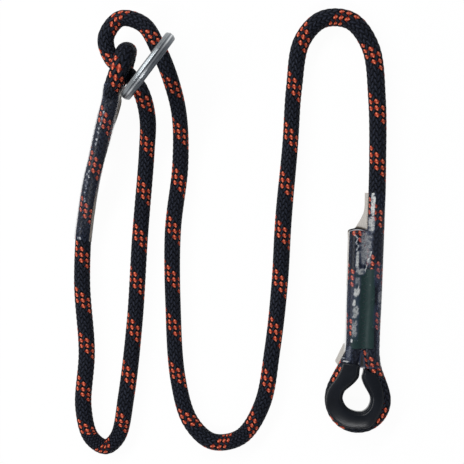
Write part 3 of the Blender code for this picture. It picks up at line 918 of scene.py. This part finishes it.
def make_label(line, material):
    """The bare label, draped over both strands just under the film."""
    corners = [joint_point(along, sideways)[:2] for sideways, along in label_corners]
    top_left, top_right, low_right, low_left = corners
    rows = []
    for row in range(label_rows):
        share = row / (label_rows - 1)
        left = top_left + (low_left - top_left) * share
        right = top_right + (low_right - top_right) * share
        width, across = span(left, right)
        found = strands_across(line, left - across * label_margin, right + across * label_margin)
        places = []
        for k in range(label_columns):
            place = width * k / (label_columns - 1)
            spot = left + across * place
            z = draped(place + label_margin, found, film_gap - label_drop, film_dip, 1)
            z += wave(*spot, 0.0, *label_wave)
            places.append((*spot, z))
        rows.append(places)
    top = np.array(rows).reshape(-1, 3)
    under = top - np.array([0.0, 0.0, label_thickness])
    faces = [face[::-1] for face in grid_faces(label_rows, label_columns, closed=False)]
    faces += grid_faces(label_rows, label_columns, closed=False, first=len(top))
    last_column, last_row = label_columns - 1, (label_rows - 1) * label_columns
    rim = list(range(label_columns))
    rim += [k * label_columns + last_column for k in range(1, label_rows)]
    rim += [last_row + k for k in range(label_columns - 2, -1, -1)]
    rim += [k * label_columns for k in range(label_rows - 2, 0, -1)]
    for a, b in zip(rim, rim[1:] + rim[:1]):
        faces.append((a, b, b + len(top), a + len(top)))
    return mesh_object("bare_label", np.concatenate([top, under]), faces, material)


# Material nodes

class Nodes:
    """Builds the nodes of one material, or of a world."""

    def __init__(self, name, kind="materials"):
        self.owner = getattr(bpy.data, kind).new(name)
        self.owner.use_nodes = True
        self.tree = self.owner.node_tree
        self.shader = self.tree.nodes.get("Principled BSDF")

    def put(self, socket, value):
        if isinstance(value, bpy.types.NodeSocket):
            self.tree.links.new(value, socket)
        else:
            socket.default_value = value

    def node(self, kind, **settings):
        made = self.tree.nodes.new(kind)
        for name, value in settings.items():
            setattr(made, name, value)
        return made

    def math(self, operation, *values):
        made = self.node("ShaderNodeMath", operation=operation)
        for socket, value in zip(made.inputs, values):
            self.put(socket, value)
        return made.outputs[0]

    def plus(self, first, second):
        return self.math("ADD", first, second)

    def minus(self, first, second):
        return self.math("SUBTRACT", first, second)

    def times(self, first, second):
        return self.math("MULTIPLY", first, second)

    def between(self, value, low, high, kind="SMOOTHSTEP"):
        """0 at low and 1 at high, with a soft step or, with kind LINEAR, a straight one."""
        made = self.node("ShaderNodeMapRange", interpolation_type=kind)
        self.put(made.inputs["Value"], value)
        made.inputs["From Min"].default_value = low
        made.inputs["From Max"].default_value = high
        return made.outputs[0]

    def mix(self, share, first, second, kind="RGBA"):
        """first where share is 0 and second where it is 1, for colours or, with kind FLOAT, for numbers."""
        made = self.node("ShaderNodeMix", data_type=kind)
        start, result = (6, 2) if kind == "RGBA" else (2, 0)
        self.put(made.inputs[0], share)
        self.put(made.inputs[start], first)
        self.put(made.inputs[start + 1], second)
        return made.outputs[result]

    def object_place(self):
        return self.node("ShaderNodeTexCoord").outputs["Object"]

    def noise(self, scale, detail):
        """Noise that is fixed to the object."""
        made = self.node("ShaderNodeTexNoise")
        self.put(made.inputs["Vector"], self.object_place())
        made.inputs["Scale"].default_value = scale
        made.inputs["Detail"].default_value = detail
        return made.outputs["Fac"]

    def bump(self, height, distance, strength=0.5):
        made = self.node("ShaderNodeBump")
        made.inputs["Distance"].default_value = distance * mm
        made.inputs["Strength"].default_value = strength
        self.put(made.inputs["Height"], height)
        self.put(self.shader.inputs["Normal"], made.outputs[0])

    def set(self, **values):
        for name, value in values.items():
            self.put(self.shader.inputs[name.replace("_", " ")], value)


def sheath_material(total):
    """Braid colours by the weave's column and row, with painted highlights down the floats' middles, painted
    shade at their edges and in the gaps between them, and a clear coat where the films lie on the rope.
    """
    n = Nodes("braided_sheath")
    place = n.node("ShaderNodeUVMap", uv_map="sheath").outputs[0]
    split = n.node("ShaderNodeSeparateXYZ")
    n.put(split.inputs[0], place)
    column, row = split.outputs[0], split.outputs[1]

    def float_shape(column, row, slant):
        """How far out a point is on its float, 1 at the edge, and how far across the float's yarns."""
        across = n.minus(column, n.math("ROUND", column))
        along = n.minus(row, n.math("ROUND", row))
        leant = n.minus(across, n.times(along, slant))
        wide = n.math("POWER", n.math("ABSOLUTE", n.math("DIVIDE", leant, float_width)), 2.0)
        long = n.math("POWER", n.math("ABSOLUTE", n.math("DIVIDE", along, float_length)), 2.0)
        return n.plus(wide, long), leant

    reach, leant = float_shape(column, row, float_slant)
    between_column = n.minus(column, 0.5)
    between_row = n.minus(row, 0.5)
    other_reach, other_leant = float_shape(between_column, between_row, -float_slant)
    strand = n.minus(n.math("ROUND", row), n.math("ROUND", column))
    index = n.math("MODULO", n.plus(strand, tracer_first + strands * spare_turns), float(strands))
    in_front = n.math("LESS_THAN", reach, other_reach)
    marked = n.math("LESS_THAN", index, tracer_strands - 0.5)
    tracer = n.times(marked, in_front)
    off_middle = n.math("ABSOLUTE", n.minus(row, n.math("ROUND", row)))
    off_centre = n.math("ABSOLUTE", leant)
    spur = n.times(n.between(off_middle, 0.12, 0.03), n.between(off_centre, 0.5, 0.42))
    reach = n.math("MINIMUM", reach, other_reach)
    leant = n.math("ABSOLUTE", n.mix(in_front, other_leant, leant, "FLOAT"))

    grain = n.noise(1500.0, 3.0)
    # Painted highlight: a lighter stroke down each float's middle, its strength varying at random
    crest_highlight = n.minus(1.0, n.between(leant, 0.02, 0.15))
    sheen_and_wear = n.between(n.noise(420.0, 1.0), 0.3, 0.7)
    lit = n.times(crest_highlight, n.plus(n.times(sheen_and_wear, 0.6), 0.35))
    lit = n.plus(lit, n.times(grain, 0.3))
    # Painted shade: the floats darken towards their edges, where they dip into the gaps
    lit = n.times(lit, n.between(reach, 0.95, 0.3))
    black = n.mix(lit, linear(sheath_dark), linear(sheath_highlight))
    orange = n.mix(n.between(grain, 0.35, 0.7), linear(tracer_orange), linear(tracer_shade))
    # Painted highlight: pinkish white down the middle of each tracer float
    orange = n.mix(n.times(n.between(leant, 0.12, 0.0), 0.75), orange, linear(tracer_highlight))
    # Painted shade: the tracer's floats darken towards their edges
    orange = n.mix(n.between(reach, 0.3, 0.66), orange, linear(gap_shade))
    colour = n.mix(tracer, black, orange)
    # Painted shade in the gaps between all floats
    colour = n.mix(n.between(reach, 0.88, 1.1), colour, linear(gap_shade))
    colour = n.mix(n.times(n.times(spur, marked), 0.75), colour, linear(tracer_shade))
    n.set(Base_Color=colour, Roughness=0.6, Specular_IOR_Level=0.06)

    coat = 0.0
    for start, end in filmed_stretches:
        first, last = row_at(start, total), row_at(end, total)
        middle, half = (first + last) / 2, (last - first) / 2
        inside = n.math("LESS_THAN", n.math("ABSOLUTE", n.minus(row, middle)), half)
        coat = n.math("MAXIMUM", coat, inside)
    n.set(Coat_Weight=n.times(coat, 0.3), Coat_Roughness=0.35)
    swell = n.math("SQRT", n.math("MAXIMUM", n.minus(1.0, reach), 0.0))
    n.bump(n.plus(n.times(grain, 0.15), swell), 1.1, 0.9)
    return n.owner


def thimble_material():
    n = Nodes("moulded_black")
    cloud = n.noise(90.0, 4.0)
    grain = n.noise(2600.0, 2.0)
    n.set(Base_Color=n.mix(cloud, linear(thimble_black), linear(thimble_worn)))
    n.set(Roughness=n.plus(n.times(cloud, 0.06), 0.27), Specular_IOR_Level=0.22)
    n.bump(grain, 0.03)
    return n.owner


def steel_material():
    """Turned steel: its random rings of tone, and its painted reflection bands, a bright highlight and dark
    bands, run round the axis, so they stay put as the ring spins.
    """
    n = Nodes("turned_steel")
    across = n.node("ShaderNodeVectorMath", operation="DOT_PRODUCT")
    n.put(across.inputs[0], n.object_place())
    across.inputs[1].default_value = tuple(ring_axis)
    start = float(ring_centre @ ring_axis) * mm
    a = n.times(n.minus(across.outputs["Value"], start), 1000.0)
    lines = n.node("ShaderNodeTexNoise", noise_dimensions="1D")
    n.put(lines.inputs["W"], a)
    lines.inputs["Scale"].default_value = 1.7
    lines.inputs["Detail"].default_value = 4.0
    lines.inputs["Roughness"].default_value = 0.75
    cloud = n.noise(260.0, 4.0)
    fine = n.noise(1500.0, 3.0)
    tone = n.plus(n.times(lines.outputs["Fac"], 0.85), n.times(fine, 0.15))
    colour = n.mix(n.between(tone, 0.35, 0.65), linear(steel_dark), linear(steel_light))
    # Painted reflections: bright and dark bands laid into the colour
    for place_along, half, share, band_colour in painted_reflection_bands:
        off_band = n.math("ABSOLUTE", n.minus(a, place_along))
        band = n.times(n.between(off_band, half, half * 0.4), share)
        colour = n.mix(band, colour, linear(band_colour))
    n.set(Base_Color=colour, Metallic=1.0, Roughness=n.plus(n.times(cloud, 0.05), 0.36))
    n.bump(n.plus(lines.outputs["Fac"], n.times(fine, 0.05)), 0.01)
    return n.owner


def film_material():
    """Clear film: seen through where it is tight; white where glare is painted and where it is hazy, along
    creases too; beige where it hangs loose; dark in its folds and where shade is painted; denser seen edge
    on.
    """
    n = Nodes("clear_film")
    marks = [n.node("ShaderNodeAttribute", attribute_name=name) for name in film_marks]
    haze_and_glare, web, fold_and_shade = [mark.outputs["Fac"] for mark in marks]
    edge = n.node("ShaderNodeLayerWeight")
    edge.inputs["Blend"].default_value = 0.3
    fine = n.noise(900.0, 4.0)
    milk_and_glare = n.times(haze_and_glare, n.plus(0.55, n.times(n.between(fine, 0.3, 0.6), 0.45)))
    alpha = n.plus(milk_and_glare, n.times(web, 0.4))
    alpha = n.plus(alpha, n.times(fold_and_shade, 1.1))
    alpha = n.plus(alpha, n.times(edge.outputs["Facing"], 0.22))
    alpha = n.math("MINIMUM", n.plus(alpha, 0.04), 0.98)
    colour = n.mix(web, linear(film_grey), linear(film_beige))
    # Dark for folds and painted shade
    colour = n.mix(fold_and_shade, colour, linear(film_fold_and_shade))
    # White for haze and painted glare
    colour = n.mix(n.between(haze_and_glare, 0.2, 0.9), colour, linear(film_milk_and_glare))
    n.set(Base_Color=colour, Alpha=alpha, Roughness=0.34, Specular_IOR_Level=0.32)
    n.bump(fine, 0.12)
    return n.owner


def label_material():
    n = Nodes("bare_label_green")
    cloud = n.noise(150.0, 4.0)
    fine = n.noise(700.0, 4.0)
    colour = n.mix(cloud, linear(label_green), linear(label_worn))
    colour = n.mix(n.between(fine, 0.62, 0.8), colour, linear(label_scuffed))
    n.set(Base_Color=colour, Roughness=0.5, Specular_IOR_Level=0.2)
    n.bump(cloud, 0.15)
    return n.owner


def thread_material():
    n = Nodes("sewing_thread")
    grain = n.noise(2200.0, 2.0)
    n.set(Base_Color=n.mix(grain, linear(thread_dark), linear(thread_grey)), Roughness=0.6)
    n.bump(grain, 0.05)
    return n.owner


# Stage, lights and camera

def share_of_background(n):
    """1 for rays from the camera, from a mirror or through glass, so that they see the background's white."""
    path = n.node("ShaderNodeLightPath")
    share = path.outputs["Is Camera Ray"]
    for name in ("Is Glossy Ray", "Is Transmission Ray"):
        share = n.math("MAXIMUM", share, path.outputs[name])
    return share


def make_floor():
    n = Nodes("pale_floor")
    n.set(Base_Color=floor_tone, Roughness=1.0, Specular_IOR_Level=0.0)
    glow = n.node("ShaderNodeEmission")
    n.put(glow.inputs["Color"], plain_white)
    mix = n.node("ShaderNodeMixShader")
    n.put(mix.inputs[0], n.times(share_of_background(n), floor_glow))
    n.put(mix.inputs[1], n.shader.outputs[0])
    n.put(mix.inputs[2], glow.outputs[0])
    n.put(n.tree.nodes["Material Output"].inputs["Surface"], mix.outputs[0])
    side = floor_half_side
    corners = [(-side, -side, 0), (side, -side, 0), (side, side, 0), (-side, side, 0)]
    floor = mesh_object("floor", corners, [(0, 1, 2, 3)], n.owner)


def make_lamp(name, turn, lean, width, height, power):
    """A soft lamp that points at the middle of the lanyard, its width level."""
    lamp = bpy.data.lights.new(name, "AREA")
    lamp.shape = "RECTANGLE"
    lamp.size = width * mm
    lamp.size_y = height * mm
    lamp.energy = power
    turn, lean = math.radians(turn), math.radians(lean)
    away = Vector((math.cos(turn) * math.sin(lean), math.sin(turn) * math.sin(lean), math.cos(lean)))
    obj = new_object(name, lamp)
    obj.location = away * (lamp_distance * mm)
    obj.rotation_euler = away.to_track_quat("Z", "Y").to_euler()


def make_studio():
    """The room round the object, which fades from its horizon to overhead."""
    n = Nodes("studio", "worlds")
    bpy.context.scene.world = n.owner
    height = n.node("ShaderNodeSeparateXYZ")
    n.put(height.inputs[0], n.node("ShaderNodeTexCoord").outputs["Generated"])
    fade = n.between(height.outputs[2], 0.0, horizon_fade, "LINEAR")
    n.put(n.tree.nodes["Background"].inputs["Color"], n.mix(fade, horizon_tone, overhead_tone))


def make_camera():
    camera = bpy.data.cameras.new("camera")
    camera.sensor_width = sensor_width
    camera.lens = sensor_width * (camera_height - scale_height) / (photo_pixels * pixel_size)
    obj = new_object("camera", camera)
    obj.location = (camera_place[0] * mm, camera_place[1] * mm, camera_height * mm)
    bpy.context.scene.camera = obj


# Everything together

make_camera()
make_floor()
for name, values in lamps.items():
    make_lamp(name, *values)
make_studio()
bpy.context.scene.view_settings.view_transform = "Standard"

line, along = rope_line()
rope = make_rope(sheath_material(along[-1]))
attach(rope, "rope")
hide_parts("rope_free_run", "thimble_eye_rope", "ring_eye_rope")

thimble = make_thimble(thimble_material())
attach(thimble, "rope")
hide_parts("thimble")

ring = make_ring(steel_material())
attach(ring, "ring")
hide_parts("adjuster_ring")

clear = film_material()
for film, node in ((make_first_film(line, clear), "thimble_eye_sleeve"),
                   (make_second_film(line, clear), "ring_eye_sleeve")):
    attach(film, "rope")
    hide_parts(node)

label = make_label(line, label_material())
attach(label, "rope")
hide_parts("identification_label")

thread = thread_material()
for node in ("thimble_eye_stitching_upper", "thimble_eye_stitching_under",
             "ring_eye_stitching_right", "ring_eye_stitching_left"):
    part = bpy.data.objects[node]
    part.data.materials.clear()
    part.data.materials.append(thread)
